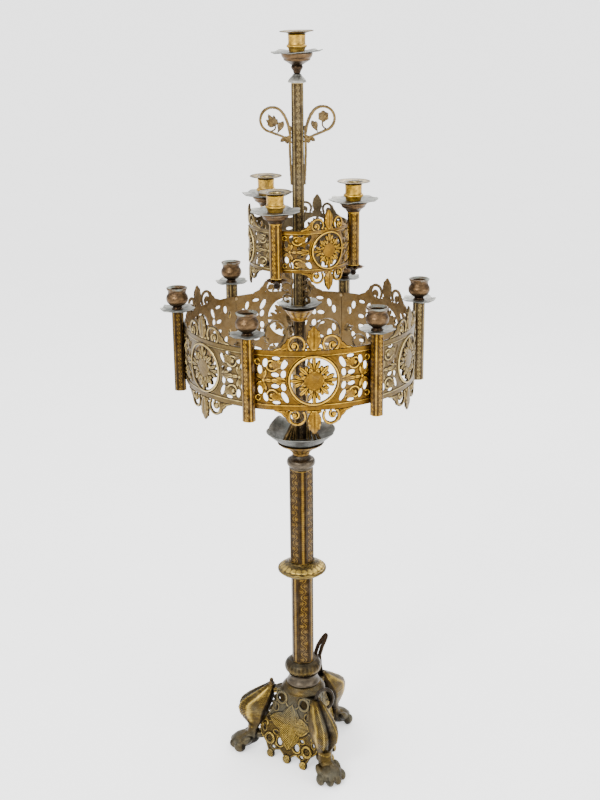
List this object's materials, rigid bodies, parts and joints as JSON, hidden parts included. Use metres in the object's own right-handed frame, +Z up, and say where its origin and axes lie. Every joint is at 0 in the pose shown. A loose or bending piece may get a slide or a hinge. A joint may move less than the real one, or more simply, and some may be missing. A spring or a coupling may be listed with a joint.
{
  "type": "votive candle rack",
  "caption": "Standing votive candle rack with two pierced rings of candle cups around a column on a three-sided clawed base.",
  "frame": {"origin": "centre of the column at floor level", "axes": "+Z up along the column, -Y towards the side with the widest view of one lower panel, +X to its right"},
  "size_m": [0.525, 0.4862, 1.48],
  "materials": {
    "gilt_brass": "antique gilt over cast brass, dark brown in the recesses",
    "dull_brass": "dull brown-gold brass",
    "patina": "thin brass sheet with grey-green patina",
    "dark_bronze": "darkened brown brass",
    "copper_brown": "brown copper-toned turned brass",
    "dark_grey": "dark grey worn metal",
    "screw_brass": "plain brass screws",
    "steel": "plain threaded rod and nut"
  },
  "bodies": {
    "root": {"base_collar": "dark_grey", "base_crown": "gilt_brass", "base_knob": "gilt_brass", "base_panel_1": "gilt_brass", "base_panel_2": "gilt_brass", "base_panel_3": "gilt_brass", "base_screws": "screw_brass", "capital_bell": "gilt_brass", "collar_disc": "gilt_brass", "dish_bell": "gilt_brass", "leg_1": "gilt_brass", "leg_2": "gilt_brass", "leg_3": "gilt_brass", "leg_loop_back": "gilt_brass", "leg_loop_front": "gilt_brass", "leg_stub_left": "gilt_brass", "lower_arm_1": "dull_brass", "lower_arm_2": "dull_brass", "lower_arm_3": "dull_brass", "lower_column": "gilt_brass", "lower_cups": "copper_brown", "lower_dish": "patina", "lower_panel_1": "gilt_brass", "lower_panel_2": "gilt_brass", "lower_panel_3": "gilt_brass", "lower_panel_4": "gilt_brass", "lower_panel_5": "gilt_brass", "lower_panel_6": "gilt_brass", "lower_pans": "patina", "lower_ring_screws": "screw_brass", "lower_tubes": "gilt_brass", "middle_stem": "gilt_brass", "neck_ring": "dark_grey", "tie_rod": "steel", "tie_rod_nut": "steel", "top_bowl": "dark_bronze", "top_cap": "dark_bronze", "top_cup": "gilt_brass", "top_drip_pan": "patina", "top_scroll_left": "dull_brass", "top_scroll_right": "dull_brass", "top_stem": "gilt_brass", "upper_arm_1": "dull_brass", "upper_arm_2": "dull_brass", "upper_arm_3": "dull_brass", "upper_bowls": "dark_bronze", "upper_column": "gilt_brass", "upper_cups": "gilt_brass", "upper_dish": "patina", "upper_finials": "dark_bronze", "upper_panel_1": "gilt_brass", "upper_panel_2": "gilt_brass", "upper_panel_3": "gilt_brass", "upper_pans": "patina", "upper_ring_screws": "screw_brass", "upper_tubes": "gilt_brass"},
    "top_nozzle": {"top_nozzle": "patina"},
    "upper_nozzle_1": {"upper_nozzle_1": "patina"},
    "upper_nozzle_2": {"upper_nozzle_2": "patina"},
    "upper_nozzle_3": {"upper_nozzle_3": "patina"}
  },
  "joints": [
    {"name": "top_nozzle_lift", "type": "slide", "parent": "root", "child": "top_nozzle", "axis": [0, 0, 1], "range_m": [0, 0.04]},
    {"name": "upper_nozzle_1_lift", "type": "slide", "parent": "root", "child": "upper_nozzle_1", "axis": [0, 0, 1], "range_m": [0, 0.04]},
    {"name": "upper_nozzle_2_lift", "type": "slide", "parent": "root", "child": "upper_nozzle_2", "axis": [0, 0, 1], "range_m": [0, 0.04]},
    {"name": "upper_nozzle_3_lift", "type": "slide", "parent": "root", "child": "upper_nozzle_3", "axis": [0, 0, 1], "range_m": [0, 0.04]}
  ]
}
